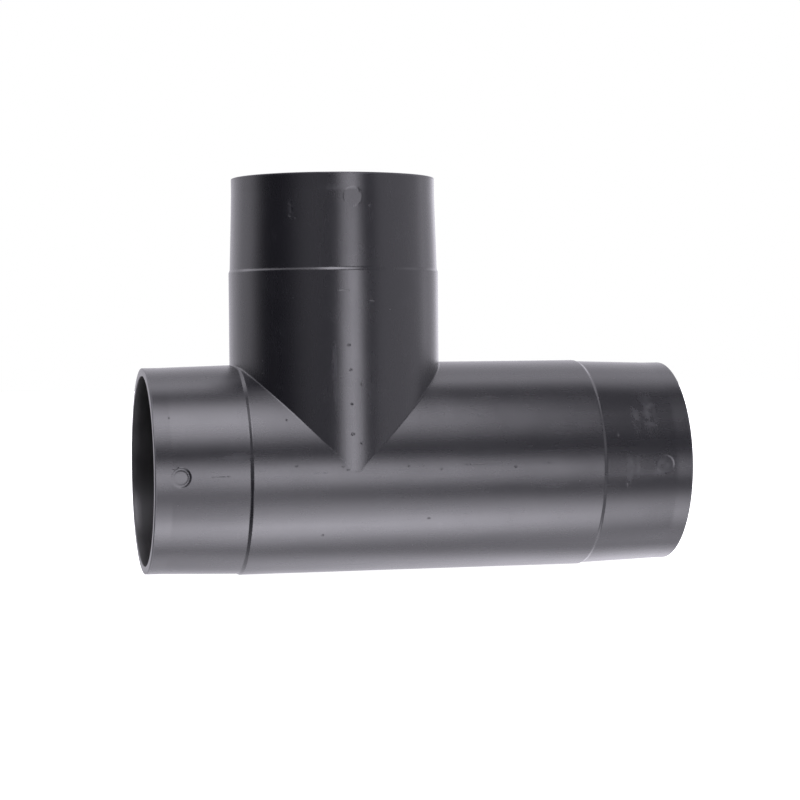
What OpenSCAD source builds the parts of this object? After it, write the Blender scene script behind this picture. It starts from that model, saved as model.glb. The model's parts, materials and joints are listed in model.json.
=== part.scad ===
// Pipe tee with three equal spigot ends and arms of unequal length.
// The run lies along X and the branch rises along +Z. The origin is the point where the two
// centre lines cross, which is the point that a pipe layout measures from.

/* [Spigots] */
// Outside diameter of a spigot at its tip
spigot_od = 110; // [100:0.5:111]
// Wall thickness of a spigot at its tip
spigot_wall = 4.2; // [3.2:0.1:8]
// Length from a spigot's tip to the middle of its shoulder
spigot_length = 50; // [35:1:70]
// Length of the untapered land at the tip, chamfer included
land_length = 9; // [6:0.5:15]
// How much the outside radius grows from the land to the shoulder
flare = 1.2; // [0.2:0.1:2]
// Size of the broken edge around the outside of the tip
tip_chamfer = 0.8; // [0.2:0.1:1.5]
// Size of the broken edge around the mouth of the bore
mouth_chamfer = 0.4; // [0.2:0.1:1.5]

/* [Body] */
// Centre line of the branch to the middle of the left shoulder
left_body = 54.8; // [54.8:0.2:120]
// Centre line of the branch to the middle of the right shoulder
right_body = 136.2; // [60:0.2:220]
// Centre line of the run to the middle of the branch shoulder
branch_body = 106.4; // [70:0.2:160]
// Step up in radius from a spigot to the body
shoulder_rise = 0.6; // [0.2:0.1:3]
// Length of the sloping shoulder
shoulder_length = 1.0; // [0.8:0.1:4]

/* [Hidden] */
$fn = 120;
BLACK_PLASTIC = [0.13, 0.13, 0.15];

tip_r = spigot_od / 2;
bore_r = tip_r - spigot_wall;
flare_r = tip_r + flare;
body_r = flare_r + shoulder_rise;

// Each barrel ends where its shoulder runs out, and the spigot takes the rest of the arm.
shoulder_out = shoulder_length / 2;
left_end = left_body + shoulder_out;
right_end = right_body + shoulder_out;
branch_end = branch_body + shoulder_out;
spigot_reach = spigot_length - shoulder_out;

// The barrels of the run and the branch meet on two mitre planes, z = x and z = -x. Past
// seam_x, just outside the bores, the branch barrel stands on the outside of the run instead.
seam_x = bore_r + 1;
overrun = 1;
above = branch_end + overrun;

module along_x() rotate([0, 90, 0]) children();

// A section of barrel from z = low to z = high, solid, with a shoulder at its top.
module barrel_top(low, high)
    rotate_extrude() polygon([
        [0, low], [body_r, low], [body_r, high - shoulder_length], [flare_r, high], [0, high]
    ]);

// The outside of the whole run as one solid, spigots included.
module run_outline()
    along_x() for (side = [[1, right_end], [-1, left_end]])
        mirror([0, 0, side[0] < 0 ? 1 : 0]) {
            barrel_top(0, side[1]);
            translate([0, 0, side[1]])
                cylinder(h = spigot_reach - land_length, r1 = flare_r, r2 = tip_r);
        }

module bore(low, high) translate([0, 0, low]) cylinder(h = high - low, r = bore_r);

// The prism between the mitre planes. It belongs to the branch barrel.
module mitre_wedge()
    rotate([90, 0, 0]) linear_extrude(2 * (body_r + overrun), center = true)
        polygon([[0, 0], [seam_x, seam_x], [seam_x, above], [-seam_x, above], [-seam_x, seam_x]]);

// A spigot standing on z = 0 with its tip up: a cone, a straight land and broken edges.
module spigot() color(BLACK_PLASTIC) rotate_extrude() polygon([
    [bore_r, 0],
    [flare_r, 0],
    [tip_r, spigot_reach - land_length],
    [tip_r, spigot_reach - tip_chamfer],
    [tip_r - tip_chamfer, spigot_reach],
    [bore_r + mouth_chamfer, spigot_reach],
    [bore_r, spigot_reach - mouth_chamfer]
]);

module run_barrel() color(BLACK_PLASTIC) difference() {
    along_x() {
        barrel_top(0, right_end);
        mirror([0, 0, 1]) barrel_top(0, left_end);
    }
    along_x() bore(-left_end - overrun, right_end + overrun);
    mitre_wedge();
}

module branch_barrel() color(BLACK_PLASTIC) difference() {
    union() {
        intersection() {
            barrel_top(0, branch_end);
            mitre_wedge();
        }
        // The two narrow feet outside the seam, which stand on the outside of the run.
        difference() {
            barrel_top(0, branch_end);
            cube([2 * seam_x, 2 * (body_r + overrun), 2 * above], center = true);
            run_outline();
        }
    }
    bore(-overrun, branch_end + overrun);
}

module left_spigot() translate([-left_end, 0, 0]) rotate([0, -90, 0]) spigot();

module right_spigot() translate([right_end, 0, 0]) along_x() spigot();

module branch_spigot() translate([0, 0, branch_end]) spigot();

run_barrel();
branch_barrel();
left_spigot();
right_spigot();
branch_spigot();
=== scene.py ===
"""A pipe tee in satin black polyethylene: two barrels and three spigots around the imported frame.

Every visible piece is a dense mesh, nearly all quads. The outside of the whole fitting is one
surface, described by two radius functions, one around the run and one around the branch, and
blended along the V where the barrels meet. Each piece is its own stretch of that surface, closed
by the bore behind it and by the faces where it joins its neighbours. Lengths are in metres.
"""

import json
import math

import bmesh
import bpy
import numpy as np
from mathutils import Euler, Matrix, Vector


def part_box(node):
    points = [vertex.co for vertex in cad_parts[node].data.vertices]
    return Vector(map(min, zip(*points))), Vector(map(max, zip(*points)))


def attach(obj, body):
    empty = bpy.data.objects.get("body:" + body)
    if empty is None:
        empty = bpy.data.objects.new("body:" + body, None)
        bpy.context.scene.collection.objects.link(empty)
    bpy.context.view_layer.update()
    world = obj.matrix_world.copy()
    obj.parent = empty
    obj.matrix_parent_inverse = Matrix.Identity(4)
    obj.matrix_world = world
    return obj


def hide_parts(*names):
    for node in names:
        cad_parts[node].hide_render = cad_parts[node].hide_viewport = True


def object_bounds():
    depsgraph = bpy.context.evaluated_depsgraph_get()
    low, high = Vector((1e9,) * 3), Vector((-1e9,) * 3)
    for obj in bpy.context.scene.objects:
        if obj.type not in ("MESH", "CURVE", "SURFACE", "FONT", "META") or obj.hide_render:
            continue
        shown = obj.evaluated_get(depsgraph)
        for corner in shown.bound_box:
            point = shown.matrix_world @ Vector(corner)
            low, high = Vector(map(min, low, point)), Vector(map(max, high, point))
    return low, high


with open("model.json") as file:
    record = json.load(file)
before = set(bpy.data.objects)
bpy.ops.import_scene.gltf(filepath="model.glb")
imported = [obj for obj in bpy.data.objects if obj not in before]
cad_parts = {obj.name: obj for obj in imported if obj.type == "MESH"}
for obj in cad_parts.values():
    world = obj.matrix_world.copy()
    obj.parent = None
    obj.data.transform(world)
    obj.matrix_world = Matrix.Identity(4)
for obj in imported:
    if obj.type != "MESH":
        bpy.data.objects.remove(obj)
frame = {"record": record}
cad_low, cad_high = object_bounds()

# ---------------------------------------------------------------- sizes, from the frame
MM = 0.001
mounts = {m["name"]: m for m in frame["record"]["mounts"]}


def mount_radius(name):
    """A mount's radius."""
    return mounts[name]["dims"]["r_mm"] * MM


run_low, run_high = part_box("run_barrel")
branch_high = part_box("branch_barrel")[1]
flare_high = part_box("left_spigot")[1]

BORE_R = mount_radius("run_bore")
TIP_R = mount_radius("left_spigot_outside")
FLARE_R = flare_high.y
BODY_R = run_high.y
LEFT_END, RIGHT_END, BRANCH_END = -run_low.x, run_high.x, branch_high.z
LEFT_TIP, RIGHT_TIP, BRANCH_TIP = -cad_low.x, cad_high.x, cad_high.z
# The mount's length leaves out the broken edge that the CAD model has at the tip.
TIP_EDGE = 0.8 * MM
LAND = mounts["left_spigot_outside"]["dims"]["length_mm"] * MM + TIP_EDGE
TIP_ROUND = 0.45 * MM
MOUTH_EDGE = 0.4 * MM
# The shoulder's length in CAD, and here, where it is rounded about the same middle.
SHOULDER = 1.0 * MM
SOFT_SHOULDER = 2.0 * MM
# The rounding along the V.
FILLET = 1.0 * MM
# The branch stands this far proud of the run, so the V closes in a short level step.
PROUD = 0.05 * MM
STEP_Z = 0.8 * MM

# Each arm: where its barrel ends and where its spigot ends, from the crossing.
LEFT = (LEFT_END, LEFT_TIP)
RIGHT = (RIGHT_END, RIGHT_TIP)
BRANCH = (BRANCH_END, BRANCH_TIP)
# The front of the run, as an angle from its top.
FRONT = math.pi / 2


# ---------------------------------------------------------------- the outside surface
def ramp(value, start, end):
    """0 at start, 1 at end, straight between."""
    return np.clip((value - start) / (end - start), 0.0, 1.0)


def smooth(value, start, end):
    """0 at start, 1 at end, easing in and out."""
    t = ramp(value, start, end)
    return t * t * (3 - 2 * t)


def arm_radius(along, arm):
    """Outside radius of one arm along it: barrel, shoulder, cone, land and rounded tip."""
    end, tip = arm
    cone = ramp(along, tip - LAND, end)
    foot = end + (SOFT_SHOULDER - SHOULDER) / 2
    shoulder = smooth(along, foot, foot - SOFT_SHOULDER)
    edge = ramp(along, tip - TIP_ROUND, tip)
    rounded = TIP_ROUND * (1 - np.sqrt(1 - edge**2))
    return TIP_R + (FLARE_R - TIP_R) * cone + (BODY_R - FLARE_R) * shoulder - rounded


MARK_R = 5.0 * MM
MARK_EDGE = 0.28 * MM
MARK_GROOVE = 0.9 * MM


def round_mark(radius, along, around, place, depth, tilt, groove=0.0, flat=0.0):
    """A disc pressed by a mould pin: how far it moves the surface, along the radius.

    place is the disc's centre, along the arm and around it. tilt sinks one side more than the
    other, along and around. groove deepens the floor just inside the edge, by that share. flat
    is 0 for a floor that follows the barrel and 1 for a plane one."""
    off_along = along - place[0]
    off_around = (around - place[1]) * radius
    off = np.hypot(off_along, off_around)
    sunk = depth + tilt[0] * off_along + tilt[1] * off_around
    grooved = 1 + groove * smooth(np.abs(off - MARK_R + MARK_GROOVE), MARK_GROOVE, 0)
    # The plane floor rises from the barrel away from its centre. The clip only keeps it finite.
    turn = np.clip(around - place[1], -0.3, 0.3)
    plane = flat * radius * (1 / np.cos(turn) - 1)
    return smooth(off, MARK_R + MARK_EDGE, MARK_R - MARK_EDGE) * (plane - sunk * grooved)


LONGEST_WAVE = 90 * MM
SHORTEST_WAVE = 9 * MM
WAVES = 16
STEEPNESS = 0.0012


def waviness(along, around, seed):
    """The slow unevenness of a thick moulding: hundredths of a millimetre, in all directions.

    It fades out towards the middle of the front, at the V's point, where the barrels meet."""
    chance = np.random.default_rng(seed)
    total = 0.0
    for length in np.geomspace(LONGEST_WAVE, SHORTEST_WAVE, WAVES):
        heading = chance.uniform(0, math.pi)
        start = chance.uniform(0, 2 * math.pi)
        # A whole number of waves goes around, so that they close.
        turns = round(BODY_R * 2 * math.pi / length * math.sin(heading))
        steepness = STEEPNESS * (length / LONGEST_WAVE) ** 0.3
        phase = along * 2 * math.pi / length * math.cos(heading) + turns * around + start
        total = total + steepness * length / (2 * math.pi) * np.sin(phase)
    return total * smooth(np.hypot(along, around * BODY_R), 4 * MM, 40 * MM)


# The three marks: place along the arm, and angle around it.
MARK_LEFT = (-91.4 * MM, FRONT + math.radians(0.4))
MARK_RIGHT = (170.0 * MM, FRONT - math.radians(1.1))
MARK_BRANCH = (143.7 * MM, math.radians(-0.5))


def run_radius(x, around):
    """Outside radius of the run. around is measured from the top towards the front."""
    base = np.where(x < 0, arm_radius(-x, LEFT), arm_radius(x, RIGHT))
    moved = round_mark(base, x, around, MARK_LEFT, 0.15 * MM, tilt=(0.026, -0.010), groove=0.5)
    moved = moved + round_mark(
        base, x, around, MARK_RIGHT, 0.04 * MM, tilt=(0.004, -0.012), groove=0.3, flat=0.3
    )
    return base + moved + waviness(x, around - FRONT, seed=11)


def branch_radius(z, around):
    """Outside radius of the branch. around is measured from the front towards +X."""
    base = arm_radius(z, BRANCH) + PROUD * smooth(z, 40 * MM, 10 * MM)
    moved = round_mark(base, z, around, MARK_BRANCH, 0.02 * MM, tilt=(0.006, -0.020), flat=0.8)
    return base + moved + waviness(z, around, seed=12)


def field(points):
    """Distance out from the fitting's surface, near it: run and branch, blended in the V."""
    x, y, z = points[..., 0], points[..., 1], points[..., 2]
    run_rho, branch_rho = np.hypot(y, z), np.hypot(x, y)
    from_run = run_rho - run_radius(x, np.arctan2(-y, z))
    from_branch = branch_rho - branch_radius(z, np.arctan2(x, -y))
    # The branch ends in a level step just above the run's centre line.
    from_branch = np.maximum(from_branch, STEP_Z - z)
    # The barrels are tangent at the V's two points and square to each other at its top.
    reach = FILLET * np.clip(1 - y * y / (run_rho * branch_rho), 1e-4, 1)
    share = np.clip(0.5 + 0.5 * (from_branch - from_run) / reach, 0, 1)
    return from_branch + (from_run - from_branch) * share - reach * share * (1 - share)


def gradient(points, step=2e-6):
    """The field's slope along each axis."""
    slopes = []
    for axis in range(3):
        move = np.zeros(3)
        move[axis] = step
        slopes.append((field(points + move) - field(points - move)) / (2 * step))
    return np.stack(slopes, -1)


def settle(points, passes=4):
    """Moves points on the sharp surface out to the blended one."""
    points = points.copy()
    for _ in range(passes):
        slope = gradient(points)
        # The lower limit keeps a point steady where two slopes cancel.
        size = np.maximum((slope**2).sum(-1, keepdims=True), 0.05)
        points -= field(points)[..., None] * slope / size
    return points


# ---------------------------------------------------------------- grids
def graded(low, high, coarse, spots):
    """Positions from low to high, coarse apart, and finer at spots (centre, half width, spacing)."""
    found = [low]
    while found[-1] < high:
        step = coarse
        for centre, half, fine in spots:
            if abs(found[-1] + fine - centre) <= half:
                step = min(step, fine)
        found.append(found[-1] + step)
    return low + (np.array(found) - low) * (high - low) / (found[-1] - low)


def ring_angles():
    """Angles once around, evenly mirrored about 0, finest at the front where the marks are."""
    degree = math.radians(1)
    spots = [(0, 10 * degree, 0.3 * degree), (0, 50 * degree, 0.7 * degree)]
    half = graded(0, math.pi, 1.4 * degree, spots)
    return np.concatenate([-half[:0:-1], half[:-1]])


AROUND_FRONT = ring_angles()


class Shell:
    """Gathers grids of points into one closed mesh."""

    def __init__(self):
        self.points, self.faces, self.count = [], [], 0

    def grid(self, points, wrap=True, flip=False):
        """Adds rows of points, closed into rings if wrap is set."""
        rows, columns = points.shape[:2]
        index = np.arange(rows * columns).reshape(rows, columns) + self.count
        right = np.roll(index, -1, axis=1) if wrap else index[:, 1:]
        left = index if wrap else index[:, :-1]
        quads = np.stack([left[:-1], right[:-1], right[1:], left[1:]], -1).reshape(-1, 4)
        self.faces.append(quads[:, ::-1] if flip else quads)
        self.points.append(points.reshape(-1, 3))
        self.count += rows * columns

    def build(self, name):
        """Makes the object, with the grids welded where their edges coincide."""
        mesh = bpy.data.meshes.new(name)
        points = np.concatenate(self.points).tolist()
        faces = np.concatenate(self.faces).tolist()
        mesh.from_pydata(points, [], faces)
        tidy = bmesh.new()
        tidy.from_mesh(mesh)
        bmesh.ops.remove_doubles(tidy, verts=tidy.verts, dist=0.004 * MM)
        bmesh.ops.dissolve_degenerate(tidy, edges=tidy.edges, dist=0.002 * MM)
        bmesh.ops.recalc_face_normals(tidy, faces=tidy.faces)
        tidy.to_mesh(mesh)
        tidy.free()
        mesh.shade_smooth()
        mesh.set_sharp_from_angle(angle=math.radians(40))
        piece = bpy.data.objects.new(name, mesh)
        bpy.context.scene.collection.objects.link(piece)
        return piece


def run_points(x, radius, around):
    """Points about the run. around is measured from the top towards the front."""
    parts = np.broadcast_arrays(x, -radius * np.sin(around), radius * np.cos(around))
    return np.stack(parts, -1)


def branch_points(z, radius, around):
    """Points about the branch. around is measured from the front towards +X."""
    parts = np.broadcast_arrays(radius * np.sin(around), -radius * np.cos(around), z)
    return np.stack(parts, -1)


# ---------------------------------------------------------------- the five pieces
BORE_STEP = 4 * MM
BORE_ROWS = 30
BARREL_STEP = 1.1 * MM
SPIGOT_STEP = 0.9 * MM


def tip_profile(tip):
    """A spigot's end from its outside edge, over the flat rim, into the bore: (along, radius)."""
    rim = np.linspace(TIP_R - TIP_ROUND, BORE_R + MOUTH_EDGE, 5)
    profile = [(tip, r) for r in rim[1:]]
    for turn in np.linspace(0, math.pi / 2, 6)[1:]:
        sunk = MOUTH_EDGE * (1 - math.cos(turn))
        left = MOUTH_EDGE * (1 - math.sin(turn))
        profile.append((tip - sunk, BORE_R + left))
    return profile


def spigot_rows(arm, mark):
    """Distances from the crossing of the rows around a spigot."""
    end, tip = arm
    spots = [
        (tip, 2.2 * MM, 0.09 * MM),
        (abs(mark), 6.2 * MM, 0.25 * MM),
        (end, 3 * MM, 0.2 * MM),
    ]
    return graded(end, tip, SPIGOT_STEP, spots)


def spigot(name, arm, mark, place, radius_of, sign, around, start=None):
    """A spigot: outside, rim, bore and joint face. place puts (along, radius, angle) in space.

    start is where the outside begins at each angle, if that isn't the joint face all around."""
    end, tip = arm
    share = (spigot_rows(arm, mark) - end) / (tip - end)
    begin = np.full_like(around, end) if start is None else start
    along = begin + (tip - begin) * share[:, None]
    outside = settle(place(sign * along, radius_of(sign * along, around), around))
    closing = [place(sign * s, r, around) for s, r in tip_profile(tip)]
    deep = tip - MOUTH_EDGE
    bore_rows = np.linspace(deep, end, round((deep - end) / BORE_STEP))
    back = [place(sign * s, BORE_R, around) for s in bore_rows[1:]]
    # A ring just inside the joint's outer edge keeps that edge crisp.
    joint = place(sign * end, FLARE_R - 0.3 * MM, around)
    shell = Shell()
    shell.grid(outside)
    shell.grid(np.stack([outside[-1], *closing, *back, joint, outside[0]]))
    return shell.build(name)


def meeting_x(around, arm, passes=30):
    """How far along an arm of the run its outside meets the branch's, at angles about the run."""
    x = np.full_like(around, BODY_R)
    for _ in range(passes):
        r = arm_radius(x, arm)
        x = np.sqrt(np.maximum(BODY_R**2 - (r * np.sin(around)) ** 2, 0))
    return np.where(np.cos(around) > 0, x, 0.0)


def stretched(begin, near, far_rows, rows, power):
    """Rows from a curved edge: close together at the edge, then straight rows from near on."""
    share = (np.linspace(0, 1, rows) ** power)[:, None]
    first = begin + (near - begin) * share
    rest = np.broadcast_to(far_rows[1:, None], (len(far_rows) - 1, len(begin)))
    return np.concatenate([first, rest])


def bore_along(inner, end):
    """Rows along a barrel's bore, from its end back to the curved mitre edge."""
    return inner + (end - inner) * np.linspace(1, 0, BORE_ROWS)[:, None]


def run_barrel():
    """The run between its shoulders, one side at a time, with the mitre faces above."""
    around = AROUND_FRONT + FRONT
    shell = Shell()
    # near is where the rows become straight rings. On the left that is all but at the shoulder.
    for sign, arm, near in ((-1, LEFT, LEFT_END - 2.2 * MM), (1, RIGHT, BODY_R + 6 * MM)):
        end = arm[0]
        begin = np.minimum(meeting_x(around, arm), end)
        rows = graded(near, end, BARREL_STEP, [(end, 2.4 * MM, 0.12 * MM)])
        along = stretched(begin, near, rows, rows=56, power=1.7)
        # Where the branch's foot reaches past the shoulder, the rows close up under it.
        along = np.minimum(np.maximum(along, begin), end)
        outside = settle(run_points(sign * along, run_radius(sign * along, around), around))
        inner = np.maximum(BORE_R * np.cos(around), 0)
        bore = run_points(sign * bore_along(inner, end), BORE_R, around)
        shell.grid(outside, flip=sign < 0)
        shell.grid(np.concatenate([outside[-1:], bore]), flip=sign < 0)
        # The mitre face, over the top half only. Below it the two sides run into each other.
        over = np.cos(around) > -1e-9
        order = np.argsort(np.where(over, (around + math.pi) % (2 * math.pi), 9))[: over.sum()]
        shell.grid(np.stack([bore[-1][order], outside[0][order]]), wrap=False, flip=sign < 0)
    return shell.build("run_body")


def branch_barrel():
    """The branch from the V up to its shoulder, with the mitre face below."""
    around = AROUND_FRONT
    x, y = BODY_R * np.sin(around), BODY_R * np.cos(around)
    outline = np.where(x < 0, arm_radius(-x, LEFT), arm_radius(x, RIGHT))
    begin = np.sqrt(np.maximum(outline**2 - y**2, 0))
    near = BODY_R + 5 * MM
    rows = graded(near, BRANCH_END, BARREL_STEP, [(BRANCH_END, 2.4 * MM, 0.12 * MM)])
    along = stretched(begin, near, rows, rows=90, power=1.5)
    outside = settle(branch_points(along, branch_radius(along, around), around))
    inner = BORE_R * np.abs(np.sin(around))
    bore = branch_points(bore_along(inner, BRANCH_END), BORE_R, around)
    shell = Shell()
    shell.grid(outside)
    shell.grid(np.concatenate([outside[-1:], bore, outside[:1]]))
    return shell.build("branch_body")


def make_pieces():
    """Makes each node's piece, with its body and its material."""
    around = AROUND_FRONT + FRONT
    # The branch's foot reaches a little way onto the left spigot.
    under_foot = np.maximum(meeting_x(around, LEFT), LEFT_END)
    left = (LEFT, MARK_LEFT[0], run_points, run_radius, -1, around, under_foot)
    right = (RIGHT, MARK_RIGHT[0], run_points, run_radius, 1, around)
    upper = (BRANCH, MARK_BRANCH[0], branch_points, branch_radius, 1, AROUND_FRONT)
    made = {
        "run_barrel": run_barrel(),
        "branch_barrel": branch_barrel(),
        "left_spigot": spigot("short_arm_end", *left),
        "right_spigot": spigot("long_arm_end", *right),
        "branch_spigot": spigot("branch_end", *upper),
    }
    for node, piece in made.items():
        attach(piece, "root")
        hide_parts(node)
        piece.data.materials.append(black_polyethylene(node))


# ---------------------------------------------------------------- the plastic
class Nodes:
    """The node tree of a material or a world, with short calls for the nodes that it needs."""

    def __init__(self, owner):
        self.tree = owner.node_tree
        self.tree.nodes.clear()

    def put(self, value, socket):
        """Links a socket, or sets a plain value."""
        if isinstance(value, bpy.types.NodeSocket):
            self.tree.links.new(value, socket)
        else:
            socket.default_value = value

    def new(self, kind, *values, **settings):
        """A node with its settings, and its first inputs filled in order."""
        made = self.tree.nodes.new("ShaderNode" + kind)
        for name, value in settings.items():
            setattr(made, name, value)
        for value, socket in zip(values, made.inputs):
            self.put(value, socket)
        return made

    def maths(self, operation, *values):
        """The result of one Math node."""
        return self.new("Math", *values, operation=operation).outputs[0]

    def vector(self, operation, *values):
        """The result of one Vector Math node: a number for LENGTH, a vector for the others."""
        made = self.new("VectorMath", *values, operation=operation)
        return made.outputs["Value" if operation == "LENGTH" else "Vector"]

    def joined(self, operation, values):
        """The sum or the maximum of any number of values."""
        result = values[0]
        for value in values[1:]:
            result = self.maths(operation, result, value)
        return result

    def weighted(self, base, *pairs):
        """base plus each value times its weight."""
        result = base
        for value, weight in pairs:
            result = self.maths("MULTIPLY_ADD", value, weight, result)
        return result

    def fade(self, value, start, end):
        """0 at start, 1 at end, easing in and out."""
        made = self.new("MapRange", value, start, end, 0.0, 1.0, interpolation_type="SMOOTHSTEP")
        return made.outputs[0]

    def noise(self, place, scales, detail=2.0, share=0.5):
        """Noise about 0, from -1 to 1, with scales features to the metre along each axis."""
        made = self.tree.nodes.new("ShaderNodeTexNoise")
        self.put(self.vector("MULTIPLY", place, scales), made.inputs["Vector"])
        made.inputs["Scale"].default_value = 1.0
        made.inputs["Detail"].default_value = detail
        made.inputs["Roughness"].default_value = share
        return self.maths("MULTIPLY_ADD", made.outputs[0], 2.0, -1.0)

    def mix(self, share, first, second):
        """A colour between two."""
        made = self.tree.nodes.new("ShaderNodeMix")
        made.data_type = "RGBA"
        self.put(share, made.inputs[0])
        self.put(first, made.inputs[6])
        self.put(second, made.inputs[7])
        return made.outputs[2]


def on_run(x, z, radius):
    """A place on the front of the run, in metres, from millimetres."""
    return (x * MM, -math.sqrt(radius**2 - z**2) * MM, z * MM)


def on_branch(z, degrees, radius):
    """A place on the front of the branch, in metres, from millimetres and degrees towards +X."""
    turn = math.radians(degrees)
    return (radius * MM * math.sin(turn), -radius * MM * math.cos(turn), z * MM)


# Small flaws: (place, half width, half height), widths and heights in millimetres.
PITS = {
    "run_barrel": [
        (on_run(-35.4, 28.0, 56.8), 0.6, 0.6),
        (on_run(-31.7, 4.4, 56.8), 0.7, 0.6),
        (on_run(-7.0, 3.6, 56.8), 0.8, 0.35),
        (on_run(-4.6, 1.9, 56.8), 0.8, 0.35),
        (on_run(27.8, 3.2, 56.8), 0.6, 0.5),
        (on_run(44.6, 7.2, 56.8), 0.9, 0.5),
        (on_run(45.4, 1.3, 56.8), 0.5, 0.5),
        (on_run(64.1, 3.4, 56.8), 6.0, 0.3),
        (on_run(85.9, 1.7, 56.8), 0.9, 0.6),
        (on_run(104.3, 3.3, 56.8), 0.6, 0.5),
        (on_run(23.3, -10.7, 56.8), 0.5, 0.5),
        (on_run(39.8, -24.9, 56.8), 0.8, 0.5),
        (on_run(-16.3, -32.7, 56.8), 0.6, 0.6),
    ],
    "branch_barrel": [
        (on_branch(89.4, 8.5, 56.8), 1.5, 0.3),
        (on_branch(95.0, -6.5, 56.8), 3.4, 0.3),
        (on_branch(66.7, -3.7, 56.8), 0.9, 0.8),
        (on_branch(53.7, -2.8, 56.8), 0.8, 0.7),
        (on_branch(46.3, 3.1, 56.8), 0.8, 0.9),
        (on_branch(36.0, -2.4, 56.8), 0.8, 0.6),
        (on_branch(20.4, -2.0, 56.8), 1.0, 0.8),
        (on_branch(15.6, 2.8, 56.8), 0.8, 0.6),
    ],
    "left_spigot": [
        (on_run(-96.1, 30.0, 55.3), 0.5, 0.5),
        (on_run(-71.0, -0.3, 56.0), 5.0, 0.3),
        (on_run(-95.0, 4.0, 55.3), 0.6, 0.4),
        (on_run(-93.0, 4.9, 55.3), 0.5, 0.5),
    ],
    "right_spigot": [
        (on_run(144.0, 17.2, 55.9), 0.7, 0.6),
        (on_run(148.2, -9.8, 55.8), 0.8, 0.8),
    ],
    "branch_spigot": [
        (on_branch(139.0, 8.6, 55.3), 0.6, 0.7),
        (on_branch(147.2, 3.2, 55.1), 0.5, 1.3),
        (on_branch(145.0, 4.5, 55.2), 0.4, 1.6),
        (on_branch(140.5, -35.0, 55.4), 1.1, 1.2),
        (on_branch(137.0, -34.4, 55.4), 0.7, 1.8),
        (on_branch(134.2, -35.0, 55.4), 1.1, 0.9),
        (on_branch(133.0, -32.0, 55.6), 0.6, 0.5),
    ],
}
SMEARS = {
    "run_barrel": [(on_run(-50.6, 2.3, 56.8), 2.6, 0.9), (on_run(-18.5, 0.5, 56.8), 4.5, 0.7)],
    "branch_barrel": [(on_branch(89.4, 8.5, 56.8), 2.0, 0.5)],
    "left_spigot": [(on_run(-71.5, -0.3, 56.0), 4.0, 0.3)],
    "right_spigot": [
        (on_run(150.0, -1.5, 55.7), 2.4, 9.0),
        (on_run(154.5, -0.5, 55.7), 1.4, 7.0),
        (on_run(164.5, -3.4, 55.3), 2.6, 0.8),
        (on_run(169.0, 0.4, 55.0), 6.0, 6.0),
        (on_run(155.5, 26.0, 55.5), 3.0, 12.0),
        (on_run(163.5, 28.0, 55.1), 5.0, 18.0),
        (on_run(165.0, -26.0, 55.0), 1.4, 7.0),
        (on_run(169.0, -27.0, 55.0), 1.1, 6.0),
    ],
    "branch_spigot": [
        (on_branch(137.5, -34.8, 55.4), 2.2, 5.6),
        (on_branch(148.6, -12.0, 55.2), 9.5, 1.8),
        (on_branch(139.0, 8.6, 55.3), 0.5, 0.6),
    ],
}
SKIN = (0.008, 0.008, 0.0098, 1)
RUBBED = (0.030, 0.030, 0.034, 1)
SMEARED = (0.055, 0.055, 0.060, 1)
SCRATCHED = (0.05, 0.05, 0.055, 1)
DUST = (0.045, 0.045, 0.048, 1)
# Painted light: the bores are coloured lighter than the outside, so the dim mouths read brighter.
BORE_PAINTED_LIGHT = (0.020, 0.020, 0.020, 1)
PLASTIC_IOR = 1.54
GLOSS_ROUGHNESS = 0.27
TIPS = {"left_spigot": -LEFT_TIP, "right_spigot": RIGHT_TIP, "branch_spigot": BRANCH_TIP}


def flaws(nodes, place, ragged, spots):
    """How deep in the nearest flaw each point is, from 0 outside to 1 in the middle."""
    depths = []
    for centre, half_width, half_height in spots:
        off = nodes.vector("SUBTRACT", place, centre)
        shares = (1 / (half_width * MM), 0.5 / (half_width * MM), 1 / (half_height * MM))
        reach = nodes.vector("LENGTH", nodes.vector("MULTIPLY", off, shares))
        depths.append(nodes.fade(nodes.maths("ADD", reach, ragged), 1.15, 0.25))
    return nodes.joined("MAXIMUM", depths)


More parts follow.
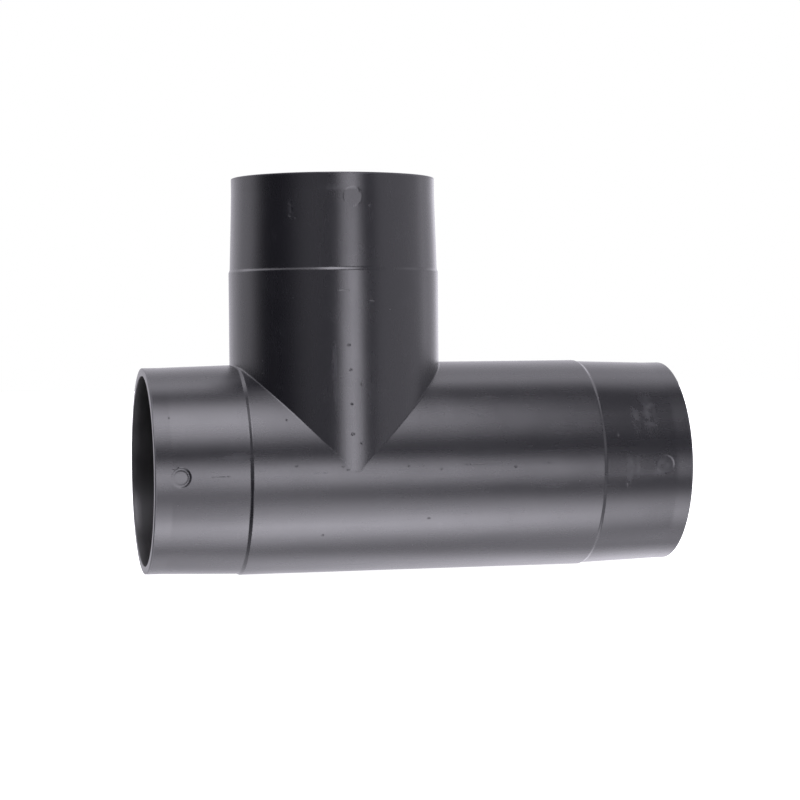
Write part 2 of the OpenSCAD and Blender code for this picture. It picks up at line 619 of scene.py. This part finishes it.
def black_polyethylene(node):
    """Satin black moulded polyethylene, with flow streaks along the arm and a fine grain.

    Over that come rubs, hair scratches, dust, and the pits and smears of this node."""
    material = bpy.data.materials.new("black_" + node)
    material.use_nodes = True
    nodes = Nodes(material)
    upright = node.startswith("branch")
    place = nodes.new("TexCoord").outputs["Object"]
    split = nodes.new("SeparateXYZ", place)
    along = split.outputs["Z" if upright else "X"]
    across = (1, 1, 0) if upright else (0, 1, 1)
    axis_off = nodes.vector("LENGTH", nodes.vector("MULTIPLY", place, across))

    def directed(along_arm, across_arm):
        """Noise scales that differ along the arm and across it."""
        if upright:
            return (across_arm, across_arm, along_arm)
        return (along_arm, across_arm, across_arm)

    flow = nodes.noise(place, directed(5, 170), 3.0, 0.6)
    streaks = nodes.noise(place, directed(12, 330), 2.0)
    mottle = nodes.noise(place, (38, 38, 38), 3.0, 0.6)
    peel = nodes.noise(place, (240, 240, 240), 1.0)
    grain = nodes.noise(place, (1700, 1700, 1700), 2.0, 0.6)
    ragged = nodes.maths("MULTIPLY", nodes.noise(place, (900, 900, 900), 2.0), 0.45)

    # Rubs: dull patches that run along the arm.
    rubs = nodes.fade(nodes.noise(place, directed(26, 150), 4.0, 0.65), 0.22, 0.62)

    # Hair scratches, in two directions, where a third noise lets them be.
    allowed = nodes.fade(nodes.noise(place, (70, 60, 75), 1.0), 0.12, 0.4)
    hairs = []
    for slant in ((150, 2400, 900), (900, 1900, 160)):
        line = nodes.maths("ABSOLUTE", nodes.noise(place, slant, 1.0))
        hairs.append(nodes.maths("MULTIPLY", nodes.fade(line, 0.03, 0.0), allowed))
    scratches = nodes.joined("MAXIMUM", hairs)

    # Dust: one cell in many holds a speck.
    cells = nodes.new("TexVoronoi", place)
    cells.inputs["Scale"].default_value = 420
    chance = nodes.new("SeparateColor", cells.outputs["Color"]).outputs[0]
    lucky = nodes.fade(chance, 0.990, 0.995)
    speck = nodes.maths("MULTIPLY", lucky, nodes.fade(cells.outputs["Distance"], 0.16, 0.08))

    pits = flaws(nodes, place, ragged, PITS[node])
    # Smears are rubbed thin in places, so a noise breaks them up.
    thin = nodes.fade(nodes.noise(place, (330, 330, 330), 2.0), -0.5, 0.7)
    smears = nodes.maths("MULTIPLY", flaws(nodes, place, ragged, SMEARS[node]), thin)
    # The inside of the bores: a rougher finish there, and a lighter colour that is painted light in
    # the dim mouths.
    inside = nodes.fade(axis_off, BORE_R + 0.3 * MM, BORE_R + 0.1 * MM)

    # The bump's heights, in metres.
    height = nodes.weighted(
        0.0,
        (peel, 1.6e-6),
        (grain, 0.35e-6),
        (streaks, 0.5e-6),
        (scratches, -0.35e-6),
        (pits, -160e-6),
    )
    wear = nodes.maths("MULTIPLY", rubs, 0.35)
    if node in TIPS:
        # Fine rings left by a scraper, in patches, and a rim rubbed by handling.
        rings = nodes.noise(place, directed(1900, 9), 2.0)
        patch = nodes.fade(nodes.noise(place, (32, 32, 32), 2.0), 0.0, 0.35)
        height = nodes.weighted(height, (nodes.maths("MULTIPLY", rings, patch), 0.9e-6))
        from_tip = nodes.maths("ABSOLUTE", nodes.maths("SUBTRACT", along, TIPS[node]))
        ragged_tip = nodes.maths("MULTIPLY_ADD", mottle, 0.8 * MM, from_tip)
        rim = nodes.maths("MULTIPLY", nodes.fade(ragged_tip, 1.3 * MM, 0.2 * MM), 0.8)
        wear = nodes.maths("MAXIMUM", wear, rim)

    shade = nodes.mix(wear, SKIN, RUBBED)
    shade = nodes.mix(nodes.maths("MULTIPLY", smears, 0.32), shade, SMEARED)
    shade = nodes.mix(nodes.maths("MULTIPLY", scratches, 0.25), shade, SCRATCHED)
    # Painted light: a lighter colour inside the bores.
    shade = nodes.mix(inside, shade, BORE_PAINTED_LIGHT)
    shade = nodes.mix(speck, shade, DUST)

    roughness = nodes.weighted(
        GLOSS_ROUGHNESS,
        (mottle, 0.030),
        (flow, 0.022),
        (streaks, 0.014),
        (wear, 0.10),
        (smears, 0.10),
        (inside, 0.06),
        (speck, 0.3),
    )

    bump = nodes.tree.nodes.new("ShaderNodeBump")
    bump.inputs["Distance"].default_value = 1.0
    nodes.put(height, bump.inputs["Height"])
    shader = nodes.tree.nodes.new("ShaderNodeBsdfPrincipled")
    shader.inputs["IOR"].default_value = PLASTIC_IOR
    nodes.put(shade, shader.inputs["Base Color"])
    nodes.put(roughness, shader.inputs["Roughness"])
    nodes.put(bump.outputs[0], shader.inputs["Normal"])
    nodes.new("OutputMaterial", shader.outputs[0])
    return material


# ---------------------------------------------------------------- floor, light and camera
# The lens and the sensor in millimetres, the turn in degrees.
CAMERA_PLACE = (-0.2349, -1.1483, 0.0714)
CAMERA_TURN = (88.28, 0.47, -13.32)
CAMERA_LENS = 96.9
CAMERA_SENSOR = 36
COOL_WHITE = (1.03, 1.0, 1.1, 1)

# Soft boxes on a black surround, all far away: azimuth from the front towards +X, elevation, half
# width, half height, softness of the sides, softness of the top and bottom, turn, and brightness.
# All but the brightness are in degrees.
SOFT_BOXES = {
    "key_in_front": (8.5, -3.6, 10, 11, 2.4, 11, -12, 7.1),
    "key_above": (-2.2, 57, 15, 20, 3, 17, -5, 7.0),
    "table_below": (21, -61, 10.5, 19, 9, 19, 0, 8.0),
    "table_in_front": (-3, -32.3, 16, 14.3, 1.5, 6, -18, 1.85),
    "table_left": (-93, -60, 22, 14, 12, 10, 0, 0.7),
    "fill_front_left": (-35, 15, 17.5, 21, 17, 13, 0, 0.59),
    "wall_right": (72, -14, 38, 59, 2, 2, 0, 1.0),
    "wall_right_behind": (129, -20, 27, 74, 7, 2, 0, 1.05),
    "wall_behind": (186, 2, 45, 84, 16, 4, 0, 1.12),
    "ceiling": (175, 71, 50, 8, 22, 13, 0, 1.8),
    "wall_left": (-116, 6, 9, 11, 16, 16, 0, 1.8),
    "window_high_left": (-80, 50, 52, 9, 8, 7, -14, 2.2),
}


def floor():
    """A white table. Only the camera sees it: soft boxes stand in for its light on the part."""
    bpy.ops.mesh.primitive_plane_add(size=8, location=(0, 0, cad_low.z - 0.0002))
    plane = bpy.context.object
    plane.name = "floor"
    plane.visible_glossy = False
    plane.visible_diffuse = False
    plane.visible_shadow = False
    material = bpy.data.materials.new("white_table")
    material.use_nodes = True
    shader = material.node_tree.nodes["Principled BSDF"]
    shader.inputs["Base Color"].default_value = (0.8, 0.8, 0.8, 1)
    shader.inputs["Roughness"].default_value = 0.9
    shader.inputs["Emission Color"].default_value = (1, 1, 1, 1)
    shader.inputs["Emission Strength"].default_value = 1.0
    plane.data.materials.append(material)


def soft_box(nodes, direction, box):
    """One soft box: its brightness in each direction."""
    *angles, brightness = box
    azimuth, elevation, half_w, half_h, soft_w, soft_h, roll = [math.radians(a) for a in angles]
    turn = Euler((-elevation, roll, azimuth), "YXZ").to_matrix().to_euler("XYZ")
    facing = nodes.new("VectorRotate", direction, rotation_type="EULER_XYZ", invert=True)
    facing.inputs["Rotation"].default_value = turn
    split = nodes.new("SeparateXYZ", facing.outputs[0])
    ahead = nodes.maths("MULTIPLY", split.outputs["Y"], -1.0)
    sideways = nodes.maths("ABSOLUTE", nodes.maths("ARCTAN2", split.outputs["X"], ahead))
    upwards = nodes.maths("ABSOLUTE", nodes.maths("ARCSINE", split.outputs["Z"]))
    wide = nodes.fade(sideways, half_w + soft_w, half_w - soft_w)
    high = nodes.fade(upwards, half_h + soft_h, half_h - soft_h)
    return nodes.maths("MULTIPLY", nodes.maths("MULTIPLY", wide, high), brightness)


def studio():
    """The soft boxes as a world, behind a plain white backdrop that only the camera sees."""
    made = bpy.data.worlds.new("studio")
    bpy.context.scene.world = made
    made.use_nodes = True
    nodes = Nodes(made)
    direction = nodes.new("TexCoord").outputs["Generated"]
    lights = [soft_box(nodes, direction, box) for box in SOFT_BOXES.values()]
    boxes = nodes.new("Background", COOL_WHITE, nodes.joined("ADD", lights))
    backdrop = nodes.new("Background", (1, 1, 1, 1), 1.0)
    seen = nodes.new("LightPath").outputs["Is Camera Ray"]
    pick = nodes.new("MixShader", seen, boxes.outputs[0], backdrop.outputs[0])
    nodes.new("OutputWorld", pick.outputs[0])


def camera():
    """A long lens, a little to the left of the branch and nearly level with the run."""
    data = bpy.data.cameras.new("camera")
    data.lens = CAMERA_LENS
    data.sensor_width = CAMERA_SENSOR
    data.clip_start, data.clip_end = 0.05, 50
    seat = bpy.data.objects.new("camera", data)
    bpy.context.scene.collection.objects.link(seat)
    seat.location = CAMERA_PLACE
    seat.rotation_euler = [math.radians(t) for t in CAMERA_TURN]
    bpy.context.scene.camera = seat


bpy.context.scene.view_settings.view_transform = "Standard"
camera()
make_pieces()
floor()
studio()
